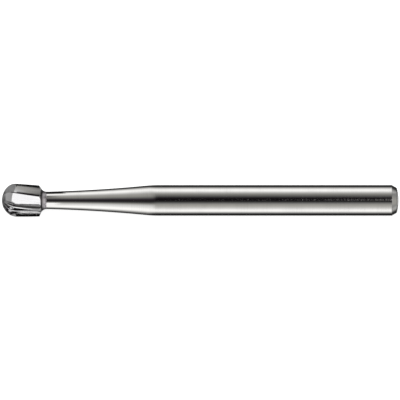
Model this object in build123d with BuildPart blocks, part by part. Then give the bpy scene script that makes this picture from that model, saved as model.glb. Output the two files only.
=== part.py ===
from build123d import *
import os
from math import cos, degrees, log, radians, sin, sqrt, tan

# A friction-grip carbide burr, lying along X in millimetres. The head points to -X and the rear end
# of the shank to +X. The origin is on the axis, where the gripped wall meets the end bevel.

# Cutting head, measured over the cutting edges
blade_count = 7
head_diameter = 1.77
blade_end_diameter = 1.69
nose_length = 0.73
blade_length = 1.96
helix_angle = 8.5
nose_helix_angle = 13.0
tip_flat_diameter = 0.12

# One blade at the widest place, scaled to the local radius elsewhere
land_width = 0.06
land_relief_angle = 21.0
negative_rake_angle = 3.0
gullet_depth = 0.30
gullet_depth_along_axis_at_tip = 0.07
least_root_share = 0.32
gullet_radius = 0.03
back_hollow = 0.018
back_hollow_radius = 2.0

# Turn of the head that lets it lie on two blades at once, from a gullet pointing straight down
rest_turn = -2.8

# Back of the head, down to the brazed joint
blade_end_slope_length = 0.10
cone_diameter = 1.22
cove_length = 0.29

# Neck, shoulder and gripped shank
joint_diameter = 0.91
neck_length = 5.50
neck_flare_radius = 73.0
shoulder_radius = 6.6
shank_diameter = 1.60
shank_length = 12.50

# Rear end of the shank
end_bevel_length = 0.27
end_bevel_depth = 0.15
end_crown = 0.08
end_corner_radius = 0.13

# Places along the axis, from the rear end of the gripped wall forwards
shoulder_x = -shank_length
joint_x = shoulder_x - neck_length
cone_x = joint_x - cove_length
blade_end_x = cone_x - blade_end_slope_length
tip_x = blade_end_x - blade_length
widest_x = tip_x + nose_length

# Half sizes
head_radius = head_diameter / 2
blade_end_radius = blade_end_diameter / 2
tip_flat_radius = tip_flat_diameter / 2
cone_radius = cone_diameter / 2
joint_radius = joint_diameter / 2
shank_radius = shank_diameter / 2

blade_pitch = 360 / blade_count
first_edge_angle = -90 + blade_pitch / 2 + rest_turn
twist_per_mm = degrees(tan(radians(helix_angle)) / head_radius)
nose_twist = degrees(tan(radians(nose_helix_angle))) * (head_radius + nose_length) / head_diameter
body_taper = (head_radius - blade_end_radius) / (blade_end_x - widest_x)
nose_stations = 9
body_stations = 8
cut_margin = 0.2


def nose_station(share):
    """Place, edge radius, root radius and turn; share runs from 0 at the tip to 1 at the widest place."""
    start = degrees(tip_flat_radius / head_radius)
    angle = radians(start + (90 - start) * share)
    edge_radius = head_radius * sin(angle)
    along = nose_length * cos(angle) / (nose_length - gullet_depth_along_axis_at_tip)
    root_radius = (head_radius - gullet_depth) * sqrt(max(0, 1 - along**2))
    root_radius = max(root_radius, least_root_share * edge_radius)
    return widest_x - nose_length * cos(angle), edge_radius, root_radius, nose_twist * log(tan(angle / 2))


def body_station(share):
    """Place, edge radius, root radius and turn; share runs from the widest place to behind the blades."""
    x = widest_x + (cone_x - widest_x) * share
    edge_radius = head_radius - body_taper * (x - widest_x)
    root_radius = edge_radius * (1 - gullet_depth / head_radius)
    return x, edge_radius, root_radius, twist_per_mm * (x - widest_x)


def blade_points(edge_angle, edge_radius, root_radius):
    """Edge, heel of the land, hollow of the back and foot of the next rake face, for one blade."""
    scale = edge_radius / head_radius
    land = land_width * scale
    relief = radians(land_relief_angle)
    lean = (edge_radius - root_radius) * tan(radians(negative_rake_angle))
    edge = Vector(edge_radius, 0)
    heel = Vector(edge_radius - land * sin(relief), land * cos(relief))
    foot = Vector(root_radius, -lean).rotate(Axis.Z, blade_pitch)
    inward = (foot - heel).normalized().rotate(Axis.Z, 90)
    hollow = (heel + foot) / 2 + inward * back_hollow * scale
    return [point.rotate(Axis.Z, edge_angle) for point in (edge, heel, hollow, foot)]


def station_plane(x, turn):
    """Plane across the axis at x, turned about it by the right-hand rule."""
    return Plane(origin=(x, 0, 0), x_dir=(0, cos(radians(turn)), sin(radians(turn))), z_dir=(1, 0, 0))


stations = [nose_station(i / nose_stations) for i in range(nose_stations)]
stations += [body_station(i / body_stations) for i in range(body_stations + 1)]

# Carbide head: a lofted toothed body, blade ends sloped at the rear, and a coved back
with BuildPart() as carbide_head:
    for station_x, edge_radius, root_radius, turn in stations:
        corners = []
        for blade in range(blade_count):
            corners += blade_points(first_edge_angle + blade * blade_pitch, edge_radius, root_radius)
        scale = edge_radius / head_radius
        roundings = [0, 0, back_hollow_radius * scale, gullet_radius * scale] * blade_count
        with BuildSketch(station_plane(station_x, turn)):
            with BuildLine():
                FilletPolyline(*corners, radius=roundings, close=True)
            make_face()
    loft()

    with BuildSketch(Plane.XZ):
        with BuildLine():
            Polyline(
                (blade_end_x, blade_end_radius),
                (cone_x, cone_radius),
                (cone_x + cut_margin, cone_radius),
                (cone_x + cut_margin, head_radius + cut_margin),
                (blade_end_x, head_radius + cut_margin),
                close=True,
            )
        make_face()
    revolve(axis=Axis.X, mode=Mode.SUBTRACT)

    with BuildSketch(Plane.XZ):
        with BuildLine():
            Polyline((joint_x, joint_radius), (joint_x, 0), (cone_x, 0), (cone_x, cone_radius))
            TangentArc((joint_x, joint_radius), (cone_x, cone_radius), tangent=(-1, 0))
        make_face()
    revolve(axis=Axis.X)

# Steel shank: coved neck, soft shoulder, gripped wall and bevelled, slightly crowned rear end
with BuildPart() as steel_shank:
    bevel_end = (end_bevel_length, shank_radius - end_bevel_depth)
    rear_centre = (end_bevel_length + end_crown, 0)
    with BuildSketch(Plane.XZ) as shank_profile:
        with BuildLine():
            RadiusArc((joint_x, joint_radius), (shoulder_x, shank_radius), -neck_flare_radius)
            Polyline((shoulder_x, shank_radius), (0, shank_radius), bevel_end)
            TangentArc(rear_centre, bevel_end, tangent=(0, 1))
            Polyline(rear_centre, (joint_x, 0), (joint_x, joint_radius))
        make_face()
        shoulder = shank_profile.vertices().sort_by_distance((shoulder_x, shank_radius))[0]
        fillet(shoulder, radius=shoulder_radius)
        end_corner = shank_profile.vertices().sort_by_distance(bevel_end)[0]
        fillet(end_corner, radius=end_corner_radius)
    revolve(axis=Axis.X)

carbide_head.part.label = "carbide_head"
steel_shank.part.label = "steel_shank"

os.makedirs("parts", exist_ok=True)
export_step(carbide_head.part, "parts/carbide_head.step")
export_step(steel_shank.part, "parts/steel_shank.step")
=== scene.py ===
"""A friction-grip carbide burr, lying on its side on a pale studio floor.

The burr lies along X, as its solids do: the nose points to -X and the rear end of the shank to +X.
Pieces are shaped in millimetres and brought to metres as they are finished.
"""

import logging
import math
from dataclasses import dataclass
from enum import Enum

import bmesh
import bpy
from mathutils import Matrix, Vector


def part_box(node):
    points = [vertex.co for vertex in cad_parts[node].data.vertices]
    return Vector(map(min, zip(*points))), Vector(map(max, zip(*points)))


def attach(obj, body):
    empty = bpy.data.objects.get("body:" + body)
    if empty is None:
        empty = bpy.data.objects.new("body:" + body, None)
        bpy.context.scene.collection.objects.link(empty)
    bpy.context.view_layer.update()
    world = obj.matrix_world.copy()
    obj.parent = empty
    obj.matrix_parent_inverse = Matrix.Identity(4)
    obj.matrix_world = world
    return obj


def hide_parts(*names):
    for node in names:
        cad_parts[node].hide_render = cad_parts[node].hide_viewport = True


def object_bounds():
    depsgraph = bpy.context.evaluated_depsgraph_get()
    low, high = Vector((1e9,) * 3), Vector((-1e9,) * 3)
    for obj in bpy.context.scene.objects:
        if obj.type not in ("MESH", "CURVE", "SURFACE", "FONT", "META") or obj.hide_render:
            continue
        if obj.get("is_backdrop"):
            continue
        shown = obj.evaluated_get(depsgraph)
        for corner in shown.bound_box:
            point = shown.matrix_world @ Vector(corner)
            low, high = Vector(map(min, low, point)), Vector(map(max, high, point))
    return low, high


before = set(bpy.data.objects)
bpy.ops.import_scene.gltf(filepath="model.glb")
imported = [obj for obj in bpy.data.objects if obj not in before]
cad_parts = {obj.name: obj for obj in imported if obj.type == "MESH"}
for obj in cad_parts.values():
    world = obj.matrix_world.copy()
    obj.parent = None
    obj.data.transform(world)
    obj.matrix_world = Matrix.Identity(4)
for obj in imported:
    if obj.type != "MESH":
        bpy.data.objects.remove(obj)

logging.basicConfig(level=logging.INFO, format="%(name)s: %(message)s")
log = logging.getLogger("burr")

MM = 0.001
# Faces that meet below this angle, in degrees, are shaded as one smooth surface
SMOOTH_BELOW = 24.0


class Slot(Enum):
    """Material slots of the record, by name: carbide and steel."""

    CARBIDE = "carbide"
    STEEL = "steel"


@dataclass(frozen=True)
class Station:
    """A place along the axis and the radius there, in millimetres."""

    x: float
    radius: float


class Bench:
    """A mesh under edit, grown along X by extruding its open rim, in millimetres."""

    # Vertices closer than this are merged
    SAME_PLACE = 1e-5

    def __init__(self, name: str, corners: int, radius: float, x: float) -> None:
        """Adds the first rim, a ring of corners round the X axis, and opens it for editing.

        Args:
            name: Name of the piece.
            corners: Number of vertices round the ring.
            radius: Radius of the ring.
            x: Place of the ring along the axis.
        """
        bpy.ops.object.select_all(action="DESELECT")
        bpy.ops.mesh.primitive_circle_add(
            vertices=corners,
            radius=radius,
            location=(x, 0, 0),
            rotation=(0, math.pi / 2, 0),
        )
        self.piece = bpy.context.object
        self.piece.name = name
        self.piece.data.name = name
        bpy.ops.object.transform_apply(location=True, rotation=True, scale=True)
        self.x = x
        bpy.ops.object.mode_set(mode="EDIT")
        bpy.ops.mesh.select_mode(type="VERT")
        self.mesh = bmesh.from_edit_mesh(self.piece.data)
        place = self.mesh.verts.layers.int.new("place")
        for vertex in self.mesh.verts:
            vertex[place] = vertex.index
        bpy.ops.mesh.select_all(action="SELECT")

    def rim(self) -> dict[int, list[bmesh.types.BMVert]]:
        """Finds the selected rim.

        Returns:
            The rim's vertices by their place round the ring.
        """
        place = self.mesh.verts.layers.int["place"]
        found: dict[int, list[bmesh.types.BMVert]] = {}
        for vertex in self.mesh.verts:
            if vertex.select:
                found.setdefault(vertex[place], []).append(vertex)
        return found

    @property
    def radius(self) -> float:
        """Distance of the selected round rim from the axis."""
        point = next(iter(self.rim().values()))[0].co
        return math.hypot(point.y, point.z)

    def pick(self, vertices: list[bmesh.types.BMVert]) -> None:
        """Selects some vertices, with the edges between them, and nothing else.

        Args:
            vertices: What to select.
        """
        bpy.ops.mesh.select_all(action="DESELECT")
        for vertex in vertices:
            vertex.select_set(True)
        self.mesh.select_flush_mode()

    def grow(self, factor: float) -> None:
        """Scales what is selected towards or away from the axis."""
        bpy.ops.transform.resize(
            value=(1, factor, factor),
            orient_type="GLOBAL",
            center_override=(self.x, 0, 0),
        )

    def turn(self, angle: float) -> None:
        """Turns what is selected about +X by the right-hand rule, by an angle in radians."""
        bpy.ops.transform.rotate(
            value=-angle,
            orient_axis="X",
            orient_type="GLOBAL",
            center_override=(self.x, 0, 0),
        )

    def extrude_to(self, x: float) -> None:
        """Extrudes the rim along the axis to x."""
        bpy.ops.mesh.extrude_region_move(
            TRANSFORM_OT_translate={"value": (x - self.x, 0, 0), "orient_type": "GLOBAL"}
        )
        self.x = x

    def follow(self, outline: list[Station], radius: float) -> None:
        """Extrudes the rim from place to place along an outline.

        Args:
            outline: The places, in order.
            radius: Radius of the rim before the first of them.
        """
        for place in outline:
            self.extrude_to(place.x)
            self.grow(place.radius / radius)
            radius = place.radius

    def close_rim(self) -> None:
        """Closes the rim with a flat fan round its centre."""
        bpy.ops.mesh.extrude_region_move()
        bpy.ops.mesh.merge(type="CENTER")

    def close_both_ends(self) -> None:
        """Closes the last rim, then every other open rim of the mesh."""
        self.close_rim()
        bpy.ops.mesh.select_all(action="DESELECT")
        bpy.ops.mesh.select_non_manifold(
            extend=False, use_wire=False, use_boundary=True, use_multi_face=False,
            use_non_contiguous=False, use_verts=False,
        )
        self.close_rim()

    def finish(self) -> bpy.types.Object:
        """Merges doubles, points all faces outwards and leaves edit mode.

        Returns:
            The object, still in millimetres.
        """
        bpy.ops.mesh.select_all(action="SELECT")
        bpy.ops.mesh.remove_doubles(threshold=self.SAME_PLACE)
        bpy.ops.mesh.normals_make_consistent(inside=False)
        bpy.ops.mesh.select_all(action="DESELECT")
        self.mesh = None
        bpy.ops.object.mode_set(mode="OBJECT")
        return self.piece


def arc_stations(start: Station, end: Station, bend: float, steps: int) -> list[Station]:
    """Stations along an arc between two places of an outline.

    Args:
        start: First place, which is left out of the result.
        end: Last place.
        bend: Radius of the arc; positive bulges away from the axis and negative towards it.
        steps: Number of stations.

    Returns:
        The stations after start, up to and including end.
    """
    first, last = Vector((start.x, start.radius)), Vector((end.x, end.radius))
    chord = last - first
    rise = math.sqrt(bend**2 - (chord.length / 2) ** 2)
    away = Vector((-chord.y, chord.x)).normalized()
    centre = (first + last) / 2 - away * math.copysign(rise, bend)
    spoke = first - centre
    sweep = (last - centre).angle_signed(spoke)
    stations = []
    for step in range(1, steps + 1):
        angle = sweep * step / steps
        turned = Vector((
            spoke.x * math.cos(angle) - spoke.y * math.sin(angle),
            spoke.x * math.sin(angle) + spoke.y * math.cos(angle),
        ))
        stations.append(Station(centre.x + turned.x, centre.y + turned.y))
    return stations


def rounded_corner(
    before: Station, corner: Station, after: Station, bend: float, steps: int
) -> list[Station]:
    """Stations of the arc that rounds a corner of an outline.

    Args:
        before: A place on the straight that leads to the corner.
        corner: The sharp corner.
        after: A place on the straight that leaves it.
        bend: Radius of the rounding.
        steps: Number of stations along the arc.

    Returns:
        The arc's stations, its two ends included.
    """
    point = Vector((corner.x, corner.radius))
    inward = (Vector((before.x, before.radius)) - point).normalized()
    onward = (Vector((after.x, after.radius)) - point).normalized()
    half = inward.angle(onward) / 2
    reach = bend / math.tan(half)
    first, last = point + inward * reach, point + onward * reach
    bulge = math.copysign(bend, inward.x * onward.y - inward.y * onward.x)
    start = Station(first.x, first.y)
    return [start, *arc_stations(start, Station(last.x, last.y), bulge, steps)]


@dataclass(frozen=True)
class BladeStation:
    """One section across the blades: place, edge radius and root radius in millimetres, turn in radians."""

    x: float
    edge: float
    root: float
    turn: float


@dataclass(frozen=True)
class BladeForm:
    """Section of one blade at the widest place, in millimetres and degrees."""

    count: int = 7
    land_width: float = 0.06
    land_relief: float = 21.0
    negative_rake: float = 3.0
    gullet_radius: float = 0.03
    back_hollow: float = 0.018
    hone: float = 0.006
    back_steps: int = 8
    gullet_steps: int = 6
    rake_steps: int = 3

    @property
    def pitch(self) -> float:
        """Angle from blade to blade, in radians."""
        return 2 * math.pi / self.count

    @property
    def corners(self) -> int:
        """Number of points in one section: three on the land, then the back, gullet and rake face."""
        return 3 + self.back_steps + self.gullet_steps + self.rake_steps

    def section(self, station: BladeStation, widest: float) -> list[Vector]:
        """Outline of one blade, from its edge round to the next blade's edge.

        Args:
            station: The section's radii.
            widest: Radius of the head at its widest place.

        Returns:
            Points across the axis; the edge lies on the first axis and the blade trails to the second.
        """
        scale = station.edge / widest
        relief = math.radians(self.land_relief)
        lean = math.tan(math.radians(self.negative_rake))
        hone, land = self.hone * scale, self.land_width * scale

        def next_blade(point: Vector) -> Vector:
            """Turns a point of this blade to the same point of the next one."""
            cosine, sine = math.cos(self.pitch), math.sin(self.pitch)
            return Vector((point.x * cosine - point.y * sine, point.x * sine + point.y * cosine))

        rake_hone = Vector((station.edge - hone, -hone * lean))
        land_hone = Vector((station.edge - hone * math.sin(relief), hone * math.cos(relief)))
        heel = Vector((station.edge - land * math.sin(relief), land * math.cos(relief)))
        foot = next_blade(Vector((station.root, -(station.edge - station.root) * lean)))
        next_edge = next_blade(rake_hone)

        back, rake = (heel - foot).normalized(), (next_edge - foot).normalized()
        half = back.angle(rake) / 2
        bend = self.gullet_radius * scale
        reach = bend / math.tan(half)
        back_end, rake_start = foot + back * reach, foot + rake * reach
        centre = foot + (back + rake).normalized() * bend / math.sin(half)

        points = [rake_hone, land_hone, heel]
        inward = Vector((back.y, -back.x)) * self.back_hollow * scale
        for i in range(1, self.back_steps):
            share = i / self.back_steps
            points.append(heel.lerp(back_end, share) + inward * 4 * share * (1 - share))
        for i in range(self.gullet_steps + 1):
            spoke = (back_end - centre).lerp(rake_start - centre, i / self.gullet_steps)
            points.append(centre + spoke.normalized() * bend)
        for i in range(1, self.rake_steps + 1):
            points.append(rake_start.lerp(next_edge, i / (self.rake_steps + 1)))
        return points


@dataclass
class CuttingHead:
    """The carbide head: a domed, back-tapered toothed body on a coved cone, in millimetres and degrees."""

    joint_x: float
    blade: BladeForm = BladeForm()
    widest_radius: float = 0.885
    blade_end_radius: float = 0.845
    nose_length: float = 0.73
    blade_length: float = 1.96
    helix: float = 8.5
    nose_helix: float = 13.0
    gullet_depth: float = 0.30
    gullet_depth_along_axis: float = 0.07
    least_root_share: float = 0.32
    rest_turn: float = -2.8
    tip_flat_radius: float = 0.06
    end_slope_length: float = 0.10
    cone_radius: float = 0.61
    cove_length: float = 0.29
    joint_radius: float = 0.455
    nose_steps: int = 30
    body_steps: int = 20
    cove_steps: int = 14
    round_corners: int = 192

    @property
    def cone_x(self) -> float:
        """Place of the cone's front rim."""
        return self.joint_x - self.cove_length

    @property
    def blade_end_x(self) -> float:
        """Place where the cutting edges end and slope down to the cone."""
        return self.cone_x - self.end_slope_length

    @property
    def widest_x(self) -> float:
        """Place where the head is widest."""
        return self.blade_end_x - self.blade_length + self.nose_length

    @property
    def taper(self) -> float:
        """Radius that the cutting edges lose behind the widest place, per millimetre of length."""
        return (self.widest_radius - self.blade_end_radius) / (self.blade_end_x - self.widest_x)

    @property
    def twist(self) -> float:
        """Turn of the blades about +X behind the widest place, in radians per millimetre."""
        return math.tan(math.radians(self.helix)) / self.widest_radius

    @property
    def first_edge(self) -> float:
        """Angle of the first edge about +X at the widest place, in radians; two blades touch the floor."""
        return -math.pi / 2 + self.blade.pitch / 2 + math.radians(self.rest_turn)

    def nose_station(self, share: float) -> BladeStation:
        """Section on the domed nose.

        Args:
            share: Where along the nose, from 0 at the tip to 1 at the widest place.

        Returns:
            The section.
        """
        start = self.tip_flat_radius / self.widest_radius
        angle = start + (math.pi / 2 - start) * share
        edge = self.widest_radius * math.sin(angle)
        back = self.nose_length * math.cos(angle)
        along = back / (self.nose_length - self.gullet_depth_along_axis)
        root = (self.widest_radius - self.gullet_depth) * math.sqrt(max(0, 1 - along**2))
        sweep = math.tan(math.radians(self.nose_helix)) * (1 + self.nose_length / self.widest_radius) / 2
        turn = self.first_edge + sweep * math.log(math.tan(angle / 2))
        return BladeStation(self.widest_x - back, edge, max(root, self.least_root_share * edge), turn)

    def body_station(self, share: float) -> BladeStation:
        """Section on the tapered body.

        Args:
            share: Where along the body, from 0 at the widest place to 1 just inside the cone.

        Returns:
            The section.
        """
        overlap = 0.02
        run = (self.cone_x + overlap - self.widest_x) * share
        edge = self.widest_radius - self.taper * run
        root = edge * (1 - self.gullet_depth / self.widest_radius)
        return BladeStation(self.widest_x + run, edge, root, self.first_edge + self.twist * run)

    def toothed_body(self) -> bpy.types.Object:
        """Shapes the blades by moving each point of a ring to its place in the blade's section.

        Returns:
            The closed toothed body, not yet sloped at its rear.
        """
        stations = [self.nose_station(i / self.nose_steps) for i in range(self.nose_steps)]
        stations += [self.body_station(i / self.body_steps) for i in range(self.body_steps + 1)]
        per_blade, first = self.blade.corners, stations[0]
        bench = Bench("bladed_head", self.blade.count * per_blade, first.edge, first.x)
        now = [(first.edge, i * self.blade.pitch / per_blade) for i in range(per_blade)]
        for station in stations:
            if station is not first:
                bench.extrude_to(station.x)
            rim = bench.rim()
            section = self.blade.section(station, self.widest_radius)
            aim = [(point.length, math.atan2(point.y, point.x) + station.turn) for point in section]
            for i, ((radius, angle), (new_radius, new_angle)) in enumerate(zip(now, aim)):
                bench.pick([v for k in range(self.blade.count) for v in rim[k * per_blade + i]])
                bench.grow(new_radius / radius)
                bench.turn(new_angle - angle)
            now = aim
            bench.pick([v for group in rim.values() for v in group])
        bench.close_both_ends()
        return bench.finish()

    def slope_cutter(self) -> bpy.types.Object:
        """Ring whose inner wall slopes the rear ends of the blades down to the cone.

        Returns:
            The closed ring.
        """
        slope = (self.blade_end_radius - self.cone_radius) / self.end_slope_length
        ahead, behind, clear = 0.02, 0.06, 0.3
        front = Station(self.blade_end_x - ahead, self.blade_end_radius + slope * ahead)
        rear = Station(self.cone_x + behind, self.cone_radius - slope * behind)
        outside = self.widest_radius + clear
        bench = Bench("slope_cutter", self.round_corners, front.radius, front.x)
        # Measured at each step, so that the last rim meets the first
        for place in (Station(front.x, outside), Station(rear.x, outside), rear, front):
            bench.follow([place], bench.radius)
        return bench.finish()

    def coved_cone(self) -> bpy.types.Object:
        """The back of the head, from inside the toothed body down to the brazed joint.

        Returns:
            The closed cone.
        """
        inside, lead = 0.45, 0.08
        cone, joint = Station(self.cone_x, self.cone_radius), Station(self.joint_x, self.joint_radius)
        drop = self.cone_radius - self.joint_radius
        bend = (self.cove_length**2 + drop**2) / (2 * drop)
        bench = Bench("coved_cone", self.round_corners, inside, self.cone_x - lead)
        bench.follow([cone, *arc_stations(cone, joint, -bend, self.cove_steps)], inside)
        bench.close_both_ends()
        return bench.finish()

    def build(self) -> bpy.types.Object:
        """Makes the head in one closed piece.

        Returns:
            The finished head, in metres.
        """
        head = self.toothed_body()
        combine(head, self.slope_cutter(), Joining.CUT)
        combine(head, self.coved_cone(), Joining.FUSE)
        return to_metres(head)


@dataclass
class GroundShank:
    """Neck, shoulder, gripped wall and bevelled rear end of the steel shank, in millimetres."""

    joint_x: float
    rear_x: float
    joint_radius: float = 0.455
    wall_radius: float = 0.80
    neck_length: float = 5.50
    flare_bend: float = 73.0
    shoulder_bend: float = 6.6
    bevel_length: float = 0.27
    bevel_depth: float = 0.15
    crown: float = 0.08
    corner_bend: float = 0.13
    edge_break: float = 0.03
    corners: int = 256
    neck_steps: int = 48
    shoulder_steps: int = 16
    wall_steps: int = 24
    break_steps: int = 3
    corner_steps: int = 8
    crown_steps: int = 10

    def outline(self) -> list[Station]:
        """Works out the outline of the shank.

        Returns:
            Its places, from the joint to the last ring of the crowned end.
        """
        joint = Station(self.joint_x, self.joint_radius)
        shoulder = Station(self.joint_x + self.neck_length, self.wall_radius)
        wall_end = Station(self.rear_x - self.crown - self.bevel_length, self.wall_radius)
        bevel_end = Station(wall_end.x + self.bevel_length, self.wall_radius - self.bevel_depth)

        flare = arc_stations(joint, shoulder, -self.flare_bend, self.neck_steps)
        blend = rounded_corner(flare[-2], shoulder, wall_end, self.shoulder_bend, self.shoulder_steps)
        neck = [place for place in flare if place.x < blend[0].x]

        broken = rounded_corner(shoulder, wall_end, bevel_end, self.edge_break, self.break_steps)
        wall = []
        for step in range(1, self.wall_steps):
            share = step / self.wall_steps
            wall.append(Station(blend[-1].x + (broken[0].x - blend[-1].x) * share, self.wall_radius))
        wall.append(Station(broken[0].x - self.edge_break / 2, self.wall_radius))

        crown_bend = (bevel_end.radius**2 + self.crown**2) / (2 * self.crown)
        centre_x = self.rear_x - crown_bend
        lean = math.asin(bevel_end.radius / crown_bend)
        crown = []
        for step in range(self.crown_steps):
            angle = lean * (1 - step / self.crown_steps)
            crown.append(Station(centre_x + crown_bend * math.cos(angle), crown_bend * math.sin(angle)))
        corner = rounded_corner(wall_end, bevel_end, crown[1], self.corner_bend, self.corner_steps)
        face = [place for place in crown if place.radius < corner[-1].radius]
        return [joint, *neck, *blend, *wall, *broken, *corner, *face]

    def build(self) -> bpy.types.Object:
        """Turns the outline round the axis.

        Returns:
            The finished shank, in metres.
        """
        first, *others = self.outline()
        bench = Bench("ground_shank", self.corners, first.radius, first.x)
        bench.follow(others, first.radius)
        bench.close_both_ends()
        return to_metres(bench.finish())


class Joining(Enum):
    """What happens where two pieces meet, by the name that the Boolean modifier gives it."""

    CUT = "DIFFERENCE"
    FUSE = "UNION"


def take_up(piece: bpy.types.Object) -> None:
    """Selects one piece alone and makes it the active one.

    Args:
        piece: The piece to work on.
    """
    bpy.ops.object.select_all(action="DESELECT")
    piece.select_set(True)
    bpy.context.view_layer.objects.active = piece


def combine(piece: bpy.types.Object, other: bpy.types.Object, how: Joining) -> None:
    """Cuts or fuses with another closed piece, which is then gone.

    Args:
        piece: The piece that stays.
        other: The piece that it is cut by or fused with.
        how: Which of the two.
    """
    take_up(piece)
    bpy.ops.object.modifier_add(type="BOOLEAN")
    joint = piece.modifiers[-1]
    joint.operation, joint.solver, joint.object = how.value, "EXACT", other
    bpy.ops.object.modifier_apply(modifier=joint.name)
    bpy.data.meshes.remove(other.data)


def to_metres(piece: bpy.types.Object) -> bpy.types.Object:
    """Brings a piece to metres and shades it smooth, apart from its sharp edges.

    Args:
        piece: A piece in millimetres.

    Returns:
        The same piece, at the origin, unturned and unscaled.
    """
    take_up(piece)
    piece.scale = (MM, MM, MM)
    bpy.ops.object.transform_apply(location=True, rotation=True, scale=True)
    bpy.ops.object.shade_smooth_by_angle(angle=math.radians(SMOOTH_BELOW))
    return piece


class Mixture(Enum):
    """What a Mix node mixes, with the numbers of its two inputs and of its output for that kind."""

    NUMBERS = ("FLOAT", 2, 3, 0)
    COLOURS = ("RGBA", 6, 7, 2)


class Graph:
    """A node tree that is laid out from left to right as its nodes are added."""

    SPACING = 200

    def __init__(self, tree: bpy.types.NodeTree) -> None:
        """Takes over a node tree and empties it.

        Args:
            tree: The tree.
        """
        self.tree = tree
        tree.nodes.clear()
        self.count = 0

    def add(self, kind: str, settings: dict | None = None, values: dict | None = None) -> bpy.types.Node:
        """Adds a node.

        Args:
            kind: The node's type.
            settings: Properties to set on it.
            values: Socket values, or sockets to link, by input name or number.

        Returns:
            The node.
        """
        node = self.tree.nodes.new(kind)
        node.location = (self.SPACING * self.count, 0)
        self.count += 1
        for name, value in (settings or {}).items():
            setattr(node, name, value)
        for name, value in (values or {}).items():
            self.feed(node.inputs[name], value)
        return node

    def feed(self, socket: bpy.types.NodeSocket, value: object) -> None:
        """Links an output to a socket, or sets the socket's own value.

        Args:
            socket: The input.
            value: An output, or a plain value.
        """
        if isinstance(value, bpy.types.NodeSocket):
            self.tree.links.new(value, socket)
        else:
            socket.default_value = value

    def math(self, operation: str, *values: object) -> bpy.types.NodeSocket:
        """Adds a Math node for numbers or sockets and gives its result."""
        return self.add("ShaderNodeMath", {"operation": operation}, dict(enumerate(values))).outputs[0]

    def split(self, vector: object) -> list[bpy.types.NodeSocket]:
        """Separates a vector and gives its X, Y and Z."""
        return list(self.add("ShaderNodeSeparateXYZ", values={0: vector}).outputs)

    def noise(self, place: object, scale: object, **others: float) -> bpy.types.NodeSocket:
        """Adds a noise texture, with values for its other inputs by name, and gives its noise."""
        return self.add("ShaderNodeTexNoise", values={"Vector": place, "Scale": scale, **others}).outputs[0]

    def ramp(
        self, value: object, low: float, high: float, to_low: float, to_high: float
    ) -> bpy.types.NodeSocket:
        """Maps a value smoothly from the range low to high to the range to_low to to_high."""
        return self.add(
            "ShaderNodeMapRange",
            {"interpolation_type": "SMOOTHSTEP"},
            {"Value": value, "From Min": low, "From Max": high, "To Min": to_low, "To Max": to_high},
        ).outputs[0]

    def blend(
        self, share: object, first: object, second: object, kind: Mixture = Mixture.COLOURS
    ) -> bpy.types.NodeSocket:
        """Mixes two colours or two numbers.

        Args:
            share: Share of the second, from 0 to 1.
            first: What a share of 0 gives.
            second: What a share of 1 gives.
            kind: What is mixed.

        Returns:
            The mixture.
        """
        name, one, other, result = kind.value
        node = self.add("ShaderNodeMix", {"data_type": name}, {0: share, one: first, other: second})
        return node.outputs[result]


def new_material(name: str) -> tuple[bpy.types.Material, Graph]:
    """Starts a material.

    Args:
        name: Name of the material.

    Returns:
        The material and its empty graph.
    """
    material = bpy.data.materials.new(name)
    material.use_nodes = True
    return material, Graph(material.node_tree)


def open_group(name: str, inputs: dict[str, str], outputs: dict[str, str]) -> tuple[Graph, dict, dict]:
    """Starts a shader node group with named sockets.

    Args:
        name: Name of the group.
        inputs: Socket type by name, for what goes in.
        outputs: Socket type by name, for what comes out.

    Returns:
        The group's graph, its inputs as outputs to link from, and its outputs as inputs to feed.
    """
    tree = bpy.data.node_groups.new(name, "ShaderNodeTree")
    for socket, kind in inputs.items():
        tree.interface.new_socket(name=socket, in_out="INPUT", socket_type=kind)
    for socket, kind in outputs.items():
        tree.interface.new_socket(name=socket, in_out="OUTPUT", socket_type=kind)
    graph = Graph(tree)
    entry, exit_ = graph.add("NodeGroupInput"), graph.add("NodeGroupOutput")
    return graph, {s: entry.outputs[s] for s in inputs}, {s: exit_.inputs[s] for s in outputs}


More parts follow.
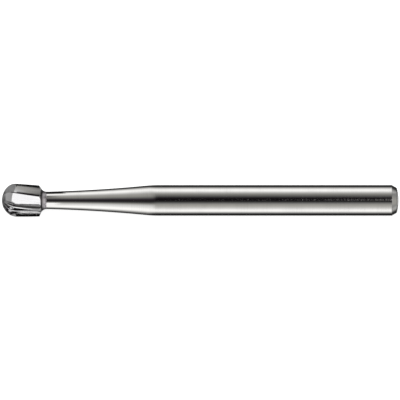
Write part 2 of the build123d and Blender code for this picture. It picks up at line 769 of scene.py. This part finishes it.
class GroundSurface:
    """Shader group for a ground metal surface: grinding lines along a helix, grain and faint smears."""

    NAME = "ground_surface"
    FLOAT, VECTOR = "NodeSocketFloat", "NodeSocketVector"
    # Noise that counts as none and as full
    NOISE_RANGE = (0.3, 0.7)
    SMEAR_RANGE = (0.35, 0.75)

    @classmethod
    def group(cls) -> bpy.types.NodeTree:
        """Gives the group, made on first use.

        Returns:
            The group. Lines, Grain and Smears each run from 0 to 1 over the surface.
        """
        if cls.NAME in bpy.data.node_groups:
            return bpy.data.node_groups[cls.NAME]
        graph, entry, leave = open_group(
            cls.NAME,
            {
                "Position": cls.VECTOR,
                "Twist": cls.FLOAT,
                "Line Density": cls.VECTOR,
                "Grain Density": cls.FLOAT,
            },
            {"Lines": cls.FLOAT, "Grain": cls.FLOAT, "Smears": cls.FLOAT},
        )
        place = entry["Position"]
        along = graph.split(place)[0]
        untwist = graph.math("MULTIPLY", graph.math("MULTIPLY", along, entry["Twist"]), -1.0)
        straight = graph.add(
            "ShaderNodeVectorRotate",
            {"rotation_type": "X_AXIS"},
            {"Vector": place, "Angle": untwist},
        ).outputs[0]
        stretched = graph.add(
            "ShaderNodeVectorMath", {"operation": "MULTIPLY"}, {0: straight, 1: entry["Line Density"]}
        ).outputs[0]
        lines = graph.noise(stretched, 1.0, Detail=4.0, Roughness=0.62)
        grain = graph.noise(place, entry["Grain Density"], Detail=2.0, Roughness=0.5)
        smears = graph.noise(place, 900.0, Detail=3.0, Distortion=0.6)
        graph.feed(leave["Lines"], graph.ramp(lines, *cls.NOISE_RANGE, 0.0, 1.0))
        graph.feed(leave["Grain"], graph.ramp(grain, *cls.NOISE_RANGE, 0.0, 1.0))
        graph.feed(leave["Smears"], graph.ramp(smears, *cls.SMEAR_RANGE, 0.0, 1.0))
        return graph.tree


@dataclass(frozen=True, kw_only=True)
class Finish:
    """A ground metal finish.

    Densities are in noise cells per metre, for the lines along X, Y and Z; depths are in metres. The lines
    follow a helix of this twist, in radians per metre.
    """

    name: str
    light: tuple[float, float, float]
    dark: tuple[float, float, float]
    smoothest: float
    roughest: float
    line_density: tuple[float, float, float]
    line_depth: float
    grain_density: float
    grain_depth: float
    twist: float = 0.0

    def start(self) -> tuple[bpy.types.Material, Graph, bpy.types.Node, bpy.types.Node]:
        """Starts the material.

        Returns:
            The material, its graph, the ground surface group and the shader, with its output joined.
        """
        material, graph = new_material(self.name)
        place = graph.add("ShaderNodeTexCoord").outputs["Object"]
        surface = graph.add("ShaderNodeGroup", {"node_tree": GroundSurface.group()}, {
            "Position": place,
            "Twist": self.twist,
            "Line Density": self.line_density,
            "Grain Density": self.grain_density,
        })
        shader = graph.add("ShaderNodeBsdfPrincipled", values={"Metallic": 1.0})
        graph.add("ShaderNodeOutputMaterial", values={"Surface": shader.outputs[0]})
        return material, graph, surface, shader

    def bump(self, graph: Graph, surface: bpy.types.Node) -> bpy.types.NodeSocket:
        """Joins the grinding lines and the grain in one bump.

        Args:
            graph: The material's graph.
            surface: Its ground surface group.

        Returns:
            The bumped normal.
        """
        lines = graph.math("MULTIPLY", surface.outputs["Lines"], self.line_depth)
        grain = graph.math("MULTIPLY", surface.outputs["Grain"], self.grain_depth)
        height = graph.math("ADD", lines, grain)
        values = {"Strength": 1.0, "Distance": 1.0, "Height": height}
        return graph.add("ShaderNodeBump", values=values).outputs[0]


@dataclass(frozen=True, kw_only=True)
class PolishedSteel(Finish):
    """Cylindrically ground and polished stainless steel, with very fine lines round the axis."""

    def material(self) -> bpy.types.Material:
        """Makes the material.

        Returns:
            The material.
        """
        material, graph, surface, shader = self.start()
        tone = graph.math("MULTIPLY", surface.outputs["Smears"], surface.outputs["Lines"])
        graph.feed(shader.inputs["Base Color"], graph.blend(tone, (*self.light, 1), (*self.dark, 1)))
        halves = [graph.math("MULTIPLY", surface.outputs[name], 0.5) for name in ("Lines", "Smears")]
        wear = graph.math("ADD", *halves)
        graph.feed(shader.inputs["Roughness"], graph.ramp(wear, 0.0, 1.0, self.smoothest, self.roughest))
        graph.feed(shader.inputs["Normal"], self.bump(graph, surface))
        return material


@dataclass(frozen=True, kw_only=True)
class GroundCarbide(Finish):
    """Fine-ground tungsten carbide: lines along the flutes, painted shade in the gullets and on the blades'
    end slope, and a dull turned back.

    Places, radii and lengths are in metres. The gullets' floors are darkened with painted shade up to
    gullet_radius at the widest place. That radius shrinks as an ellipse over gullet_nose ahead of it, and
    behind it by the share gullet_taper for each metre. Painted shade also darkens the rear of the blades' end
    slope, where it meets the cone.
    """

    widest_x: float
    gullet_radius: float
    gullet_nose: float
    gullet_taper: float
    slope_start: float
    cone_x: float
    dull: tuple[float, float, float] = (0.95, 0.90, 0.94)
    dull_roughness: float = 0.30
    dull_blur: float = 0.015 * MM
    painted_shade_tone: tuple[float, float, float] = (0.14, 0.13, 0.135)
    # Colour of the painted shade laid in the gullets and on the blades' end slope
    gullet_painted_shade: float = 0.85
    # Share of painted shade at the gullets' floors, and how far in from gullet_radius it fades
    gullet_reach: float = 0.02 * MM
    least_dome: float = 0.0001
    slope_painted_shade: float = 0.9
    # Share of painted shade on the blades' end slope, and the length over which it comes in
    slope_fade: float = 0.03 * MM
    cone_fade: tuple[float, float] = (0.04 * MM, 0.10 * MM)

    def material(self) -> bpy.types.Material:
        """Makes the material.

        Returns:
            The material.
        """
        material, graph, surface, shader = self.start()
        place = graph.add("ShaderNodeTexCoord").outputs["Object"]
        along, side, height = graph.split(place)
        squares = [graph.math("POWER", part, 2.0) for part in (side, height)]
        radius = graph.math("SQRT", graph.math("ADD", *squares))

        speckle = graph.math("MULTIPLY", surface.outputs["Grain"], surface.outputs["Lines"])
        blades = graph.blend(speckle, (*self.light, 1), (*self.dark, 1))
        # Painted shade in the gullets: a radius that follows the domed nose and the taper, inside which the
        # floors are darkened
        ahead = graph.math("MAXIMUM", graph.math("SUBTRACT", self.widest_x, along), 0.0)
        share = graph.math("POWER", graph.math("DIVIDE", ahead, self.gullet_nose), 2.0)
        left = graph.math("MAXIMUM", graph.math("SUBTRACT", 1.0, share), self.least_dome)
        dome = graph.math("SQRT", left)
        past = graph.math("MAXIMUM", graph.math("SUBTRACT", along, self.widest_x), 0.0)
        slimmer = graph.math("SUBTRACT", 1.0, graph.math("MULTIPLY", past, self.gullet_taper))
        depth = graph.math("DIVIDE", radius, graph.math("MULTIPLY", dome, slimmer))
        floor = self.gullet_radius - self.gullet_reach
        painted_gullet_shade = graph.ramp(depth, floor, self.gullet_radius, self.gullet_painted_shade, 0.0)
        blades = graph.blend(painted_gullet_shade, blades, (*self.painted_shade_tone, 1))

        dull = graph.blend(surface.outputs["Smears"], (*self.dull, 1), (*self.dark, 1))
        behind = graph.ramp(along, self.cone_x - self.dull_blur, self.cone_x + self.dull_blur, 0.0, 1.0)
        colour = graph.blend(behind, blades, dull)
        # Painted shade on the rear of the blades' end slope, in the crease where it meets the cone, fading
        # out over the cone's front
        painted_shade_full_x = self.slope_start + self.slope_fade
        begins = graph.ramp(along, self.slope_start, painted_shade_full_x, 0.0, self.slope_painted_shade)
        ends = graph.ramp(along, *(self.cone_x + fade for fade in self.cone_fade), 1.0, 0.0)
        slope = graph.math("MULTIPLY", begins, ends)
        graph.feed(shader.inputs["Base Color"], graph.blend(slope, colour, (*self.painted_shade_tone, 1)))

        wear = graph.ramp(surface.outputs["Lines"], 0.0, 1.0, self.smoothest, self.roughest)
        rough = graph.blend(behind, wear, self.dull_roughness, Mixture.NUMBERS)
        graph.feed(shader.inputs["Roughness"], rough)
        graph.feed(shader.inputs["Normal"], self.bump(graph, surface))
        return material


class Tint(Enum):
    """Tints of the studio's light."""

    NEUTRAL = (1.0, 1.0, 0.99)
    WARM = (1.015, 1.0, 0.95)
    VIOLET = (1.10, 0.90, 1.08)


@dataclass(frozen=True)
class Band:
    """Brightness of the studio in one direction round the burr's axis.

    The angle is counted from the camera's direction, upwards, over the top and down behind the burr.
    """

    angle: float
    level: float
    tint: Tint = Tint.NEUTRAL


@dataclass(frozen=True)
class Zone:
    """Bands that a mirror surface shows where it looks at a tilt along the burr's axis.

    The tilt runs from -1 at the nose to 1 at the rear. The zone before this one begins to give way at the
    first tilt and is gone at the second.
    """

    begins: float
    full: float
    bands: tuple[Band, ...]


def band_ring(*entries: tuple) -> tuple[Band, ...]:
    """Makes bands of an angle, a level and, where it isn't neutral, a tint each."""
    return tuple(Band(*entry) for entry in entries)


@dataclass(frozen=True)
class Card:
    """A soft-edged card beside the head, seen in mirror surfaces alone: bright to light them, black to shade.

    Its angle round the axis is in degrees from the camera's direction, upwards, and its slant in degrees. Its
    place along the axis and its sizes are in millimetres. A surface farther away than its reach, with the
    fade, doesn't mirror it.
    """

    name: str
    angle: float
    place: float
    length: float
    width: float
    level: float
    slant: float = 0.0
    distance: float = 6.0
    soft: float = 0.15
    reach: float = 6.9
    fade: float = 0.3

    def material(self) -> bpy.types.Material:
        """Makes the card's glow, which fades out to its edges and beyond its reach.

        Returns:
            The material.
        """
        centre = edge = 0.5
        material, graph = new_material(self.name)
        place = graph.add("ShaderNodeTexCoord").outputs["UV"]
        sides = []
        for across, size in zip(graph.split(place), (self.length, self.width)):
            off_centre = graph.math("ABSOLUTE", graph.math("SUBTRACT", across, centre))
            sides.append(graph.ramp(off_centre, edge - self.soft / size, edge, 1.0, 0.0))
        away = graph.add("ShaderNodeLightPath").outputs["Ray Length"]
        near = graph.ramp(away, self.reach * MM, (self.reach + self.fade) * MM, 1.0, 0.0)
        shown = graph.math("MULTIPLY", graph.math("MULTIPLY", *sides), near)
        clear = graph.add("ShaderNodeBsdfTransparent").outputs[0]
        glow = graph.add("ShaderNodeEmission", values={"Strength": self.level}).outputs[0]
        mixed = graph.add("ShaderNodeMixShader", values={0: shown, 1: clear, 2: glow})
        graph.add("ShaderNodeOutputMaterial", values={"Surface": mixed.outputs[0]})
        return material

    def build(self, elevation: float) -> bpy.types.Object:
        """Hangs the card, facing the axis.

        Args:
            elevation: Height of the camera's direction over the horizon, in degrees.

        Returns:
            The card.
        """
        around = math.radians(180 - elevation - self.angle)
        bpy.ops.object.select_all(action="DESELECT")
        bpy.ops.mesh.primitive_plane_add(size=MM)
        card = bpy.context.object
        card.name = self.name
        card.scale = (self.length, self.width, 1)
        # In this order the slant turns the card in its own plane, before it is turned to face the axis
        card.rotation_mode = "ZYX"
        card.rotation_euler = (around - math.pi / 2, 0, math.radians(self.slant))
        aside, up = self.distance * math.cos(around), self.distance * math.sin(around)
        card.location = Vector((self.place, aside, up)) * MM
        bpy.ops.object.transform_apply(location=True, rotation=True, scale=True)
        card.rotation_mode = "XYZ"
        card.data.materials.append(self.material())
        card.visible_camera = card.visible_diffuse = card.visible_shadow = card.visible_transmission = False
        card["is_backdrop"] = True
        return card


@dataclass
class Studio:
    """Pale floor, bands of light all round, and a long-lensed camera square to the burr's axis.

    Places and sizes are in metres, the elevation of the camera in degrees, its lens in millimetres and the
    lamp's power in watts. The burr's axis lies on axis_row of the picture, which is picture_size rows high.
    The camera sees from nearest_seen to farthest_seen, as shares of its distance.
    """

    floor_z: float
    centre_x: float
    view_width: float = 20.88 * MM
    elevation: float = 64.2
    lens: float = 500.0
    picture_size: int = 400
    axis_row: float = 200.35
    zones: tuple[Zone, ...] = (
        Zone(-1.0, -1.0, band_ring(
            (-180, 0.05), (-120, 0.30), (-93, 0.42), (-60, 0.40), (-30, 0.36), (0, 0.30),
            (35, 0.28, Tint.WARM), (65, 0.28), (105, 0.26), (120, 0.25), (150, 0.12), (180, 0.05),
        )),
        Zone(-0.82, -0.76, band_ring(
            (-180, 0.05), (-130, 0.30), (-95, 0.85), (-75, 0.50), (-62, 0.38), (-30, 0.38), (-10, 0.20),
            (5, 0.05), (20, 0.05), (35, 0.16), (66, 0.27), (81, 0.27), (105, 0.20), (140, 0.08),
            (180, 0.05),
        )),
        Zone(-0.34, -0.22, band_ring(
            (-180, 0.06), (-140, 0.06), (-124, 0.20), (-110, 0.55), (-96, 1.10), (-84, 1.30), (-72, 1.25),
            (-60, 1.02), (-50, 0.87), (-40, 0.68), (-30, 0.36, Tint.WARM), (-20, 0.10), (-10, 0.02),
            (0, 0.018, Tint.VIOLET), (10, 0.04, Tint.VIOLET), (20, 0.145), (30, 0.28, Tint.WARM),
            (40, 0.36, Tint.WARM), (50, 0.41, Tint.WARM), (60, 0.57), (72, 0.90), (84, 1.20), (96, 1.15),
            (110, 0.70), (124, 0.20), (140, 0.05), (180, 0.06),
        )),
        Zone(-0.11, -0.025, band_ring(
            (-180, 0.60), (-172, 0.35), (-162, 0.02), (-124, 0.02), (-110, 0.25), (-96, 0.95), (-84, 1.27),
            (-72, 1.05), (-60, 0.72), (-50, 0.55, Tint.WARM), (-40, 0.43, Tint.WARM),
            (-30, 0.34, Tint.WARM), (-20, 0.16), (-10, 0.03), (0, 0.008, Tint.VIOLET),
            (10, 0.005, Tint.VIOLET), (20, 0.018, Tint.VIOLET), (30, 0.095), (40, 0.195, Tint.WARM),
            (50, 0.33, Tint.WARM), (60, 0.57), (72, 1.04), (84, 1.27), (96, 0.98), (110, 0.40), (124, 0.03),
            (162, 0.02), (172, 0.35), (180, 0.60),
        )),
        Zone(0.05, 0.09, band_ring(
            (-180, 0.04), (-120, 0.05), (-90, 0.02), (-70, 0.02), (-62, 0.20), (-40, 0.30), (-20, 0.30),
            (-10, 0.05), (-4, 0.05), (-1, 0.90), (9, 0.90), (12, 0.02), (14, 0.02), (18, 0.12, Tint.WARM),
            (22, 0.17, Tint.WARM), (40, 0.30), (80, 0.35), (130, 0.06), (180, 0.04),
        )),
        Zone(0.125, 0.14, band_ring(
            (-180, 0.03), (-70, 0.01), (-60, 1.10), (-40, 1.00), (-33, 0.02), (0, 0.006), (15, 0.01),
            (30, 0.05), (60, 0.25), (100, 0.30), (130, 0.06), (180, 0.03),
        )),
        Zone(0.165, 0.175, band_ring(
            (-180, 0.04), (-90, 0.04), (-70, 0.04), (-60, 1.00), (-42, 0.80), (-34, 0.02), (-3, 0.006),
            (0, 1.25), (20, 1.25), (30, 0.60), (60, 0.30), (100, 0.30), (130, 0.06), (180, 0.04),
        )),
        Zone(0.188, 0.196, band_ring(
            (-180, 0.03), (-90, 0.30), (-60, 0.20), (-35, 0.02), (0, 0.006), (25, 0.006), (40, 0.08),
            (70, 0.30), (110, 0.30), (130, 0.06), (180, 0.03),
        )),
        Zone(0.29, 0.34, band_ring(
            (-180, 0.70), (-168, 0.45), (-150, 0.02), (-129, 0.03), (-117, 0.12), (-107, 0.33), (-92, 0.46),
            (-62, 0.24), (-40, 0.42), (-25, 0.60), (0, 0.52), (25, 0.40), (40, 0.12), (52, 0.12),
            (65, 0.35), (80, 0.52), (92, 0.42), (105, 0.30), (114, 0.15), (125, 0.045), (138, 0.03),
            (154, 0.03), (168, 0.45), (180, 0.70),
        )),
        Zone(0.70, 0.78, band_ring(
            (-180, 0.04), (-129, 0.03), (-112, 0.25), (-97, 0.46), (-80, 0.40), (-62, 0.29),
            (-40, 0.37, Tint.WARM), (0, 0.38, Tint.WARM), (30, 0.33, Tint.WARM), (62, 0.27), (100, 0.30),
            (115, 0.15), (130, 0.04), (180, 0.04),
        )),
    )
    cards: tuple[Card, ...] = (
        Card("low_white_card", angle=-50, place=-21.15, length=6.7, width=4.37, level=1.18),
        Card("gullet_white_card", angle=-4, place=-19.65, length=1.1, width=1.05, level=1.1),
        Card("heel_black_flag", angle=38.7, place=-20.39, length=3.2, width=1.1, level=0.004, slant=-60),
        Card("edge_black_flag", angle=53.3, place=-18.85, length=2.8, width=0.9, level=0.004, slant=-58),
        Card("far_black_flag", angle=106, place=-19.2, length=3.6, width=3.4, level=0.004),
    )
    backdrop: tuple[float, float, float] = (0.93, 0.93, 0.93)
    floor_size: float = 1.6
    floor_tones: tuple[float, float] = (0.90, 0.92)
    floor_evenness: float = 0.85
    floor_glow: float = 1.08
    lamp_aside: float = -0.03
    lamp_height: float = 0.32
    lamp_size: float = 0.5
    lamp_power: float = 7.0
    nearest_seen: float = 0.01
    farthest_seen: float = 20.0

    def look(self) -> Vector:
        """Direction from the burr to the camera."""
        lift = math.radians(self.elevation)
        return Vector((0, -math.cos(lift), math.sin(lift)))

    def floor(self) -> bpy.types.Object:
        """Lays the floor, which the burr shades but doesn't mirror.

        The camera sees it mostly as an even white, so that the shadow stays faint.

        Returns:
            The floor.
        """
        bpy.ops.object.select_all(action="DESELECT")
        bpy.ops.mesh.primitive_plane_add(size=self.floor_size, location=(self.centre_x, 0, self.floor_z))
        floor = bpy.context.object
        floor.name = "studio_floor"
        bpy.ops.object.transform_apply(location=True, rotation=True, scale=True)
        material, graph = new_material("pale_floor")
        place = graph.add("ShaderNodeTexCoord").outputs["Object"]
        mottle = graph.noise(place, 40.0, Detail=2.0)
        tone = graph.blend(mottle, *((level, level, level, 1) for level in self.floor_tones))
        lit = graph.add("ShaderNodeBsdfPrincipled", values={"Base Color": tone, "Roughness": 0.9}).outputs[0]
        even = graph.add("ShaderNodeEmission", values={"Color": tone, "Strength": self.floor_glow}).outputs[0]
        camera = graph.add("ShaderNodeLightPath").outputs["Is Camera Ray"]
        share = graph.math("MULTIPLY", camera, self.floor_evenness)
        mixed = graph.add("ShaderNodeMixShader", values={0: share, 1: lit, 2: even}).outputs[0]
        graph.add("ShaderNodeOutputMaterial", values={"Surface": mixed})
        floor.data.materials.append(material)
        floor.visible_glossy = False
        floor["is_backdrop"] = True
        return floor

    @staticmethod
    def banded(graph: Graph, share: bpy.types.NodeSocket, bands: tuple[Band, ...]) -> bpy.types.NodeSocket:
        """Turns bands of light into a colour ramp.

        Args:
            graph: The world's graph.
            share: Angle from the camera as a share of the full turn, with the camera at a half.
            bands: The bands, in order of angle.

        Returns:
            The light's colour.
        """
        ramp = graph.add("ShaderNodeValToRGB", values={0: share})
        stops = ramp.color_ramp.elements
        while len(stops) < len(bands):
            stops.new(0.5)
        for stop, band in zip(stops, bands):
            stop.position = (band.angle + 180) / 360
            stop.color = (*(band.level * part for part in band.tint.value), 1)
        return ramp.outputs[0]

    def surroundings(self) -> None:
        """Paints what the metal mirrors: bands round the axis, which change with the tilt along it."""
        world = bpy.data.worlds.new("studio")
        bpy.context.scene.world = world
        world.use_nodes = True
        world.cycles.sampling_method = "NONE"
        graph = Graph(world.node_tree)
        along, away, up = graph.split(graph.add("ShaderNodeTexCoord").outputs["Generated"])
        around = graph.math("ARCTAN2", up, graph.math("MULTIPLY", away, -1.0))
        from_camera = graph.math("SUBTRACT", around, math.radians(self.elevation))
        turns = graph.math("DIVIDE", from_camera, 2 * math.pi)
        # Half a turn puts the camera's direction mid-ramp, and a whole one more keeps the sum positive
        share = graph.math("FRACT", graph.math("ADD", turns, 1.5))

        colour = self.banded(graph, share, self.zones[0].bands)
        for zone in self.zones[1:]:
            reached = graph.ramp(along, zone.begins, zone.full, 0.0, 1.0)
            colour = graph.blend(reached, colour, self.banded(graph, share, zone.bands))

        seen = graph.add("ShaderNodeLightPath").outputs["Is Camera Ray"]
        colour = graph.blend(seen, colour, (*self.backdrop, 1))
        background = graph.add("ShaderNodeBackground", values={"Color": colour, "Strength": 1.0})
        graph.add("ShaderNodeOutputWorld", values={"Surface": background.outputs[0]})

    def softbox(self) -> bpy.types.Object:
        """Hangs a wide soft light over the floor.

        Returns:
            The light.
        """
        bpy.ops.object.select_all(action="DESELECT")
        place = (self.centre_x, self.lamp_aside, self.lamp_height)
        bpy.ops.object.light_add(type="AREA", location=place)
        lamp = bpy.context.object
        lamp.name = "overhead_softbox"
        lamp.data.shape = "SQUARE"
        lamp.data.size = self.lamp_size
        lamp.data.energy = self.lamp_power
        lamp.visible_glossy = False
        return lamp

    def camera(self) -> bpy.types.Object:
        """Places the camera at the photograph's viewing angle.

        Returns:
            The camera.
        """
        data = bpy.data.cameras.new("camera")
        data.lens = self.lens
        half_angle = math.atan(data.sensor_width / 2 / data.lens)
        distance = self.view_width / 2 / math.tan(half_angle)
        data.clip_start, data.clip_end = distance * self.nearest_seen, distance * self.farthest_seen
        camera = bpy.data.objects.new("camera", data)
        bpy.context.scene.collection.objects.link(camera)
        look = self.look()
        up = Vector((0, look.z, -look.y))
        drop = (self.axis_row - self.picture_size / 2) / self.picture_size * self.view_width
        camera.location = Vector((self.centre_x, 0, 0)) + look * distance + up * drop
        camera.rotation_mode = "QUATERNION"
        camera.rotation_quaternion = (-look).to_track_quat("-Z", "Y")
        bpy.context.scene.camera = camera
        return camera

    def build(self) -> None:
        """Sets up the whole studio."""
        bpy.context.scene.view_settings.view_transform = "Standard"
        pieces = [self.camera(), self.floor(), *(card.build(self.elevation) for card in self.cards)]
        self.surroundings()
        pieces.append(self.softbox())
        for piece in pieces:
            log.info("%s: in place", piece.name)


def dress(piece: bpy.types.Object, material: bpy.types.Material, node: str) -> None:
    """Gives a piece its finish, lets it stand for its solid and fixes it to the burr's body.

    Args:
        piece: The finished piece.
        material: Its material.
        node: Name of the solid that it stands for.
    """
    piece.data.materials.clear()
    piece.data.materials.append(material)
    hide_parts(node)
    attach(piece, "root")
    log.info("%s: %d faces, for %s", piece.name, len(piece.data.polygons), node)


def main() -> None:
    """Builds the burr and its studio, and notes the size of the solids and of the finished model."""
    solid_low, solid_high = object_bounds()
    shank_low, shank_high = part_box("steel_shank")
    joint_x, rear_x = shank_low[0] / MM, shank_high[0] / MM

    head = CuttingHead(joint_x=joint_x)
    carbide = GroundCarbide(
        name="ground_carbide",
        light=(0.85, 0.85, 0.86),
        dark=(0.60, 0.58, 0.595),
        smoothest=0.02,
        roughest=0.06,
        line_density=(300.0, 60000.0, 60000.0),
        line_depth=0.00015 * MM,
        grain_density=90000.0,
        grain_depth=0.00003 * MM,
        twist=head.twist / MM,
        cone_x=head.cone_x * MM,
        gullet_radius=(head.widest_radius - head.gullet_depth) * MM,
        slope_start=(head.blade_end_x + head.end_slope_length / 2) * MM,
        widest_x=head.widest_x * MM,
        gullet_nose=(head.nose_length - head.gullet_depth_along_axis) * MM,
        gullet_taper=head.taper / head.widest_radius / MM,
    )
    dress(head.build(), carbide.material(), "carbide_head")

    steel = PolishedSteel(
        name="polished_steel",
        light=(0.80, 0.79, 0.775),
        dark=(0.70, 0.69, 0.68),
        smoothest=0.035,
        roughest=0.08,
        line_density=(60000.0, 300.0, 300.0),
        line_depth=0.0002 * MM,
        grain_density=50000.0,
        grain_depth=0.0,
    )
    shank = GroundShank(joint_x=joint_x, rear_x=rear_x)
    dress(shank.build(), steel.material(), "steel_shank")

    middle_x, off_centre = (solid_low[0] + solid_high[0]) / 2, 0.008 * MM
    Studio(floor_z=solid_low[2], centre_x=middle_x - off_centre).build()

    low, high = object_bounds()
    sizes = {"cad": [list(solid_low), list(solid_high)], "visual": [list(low), list(high)]}
    for what, corners in sizes.items():
        log.info("%s box in metres: %s to %s", what, *corners)


if __name__ == "__main__":
    main()
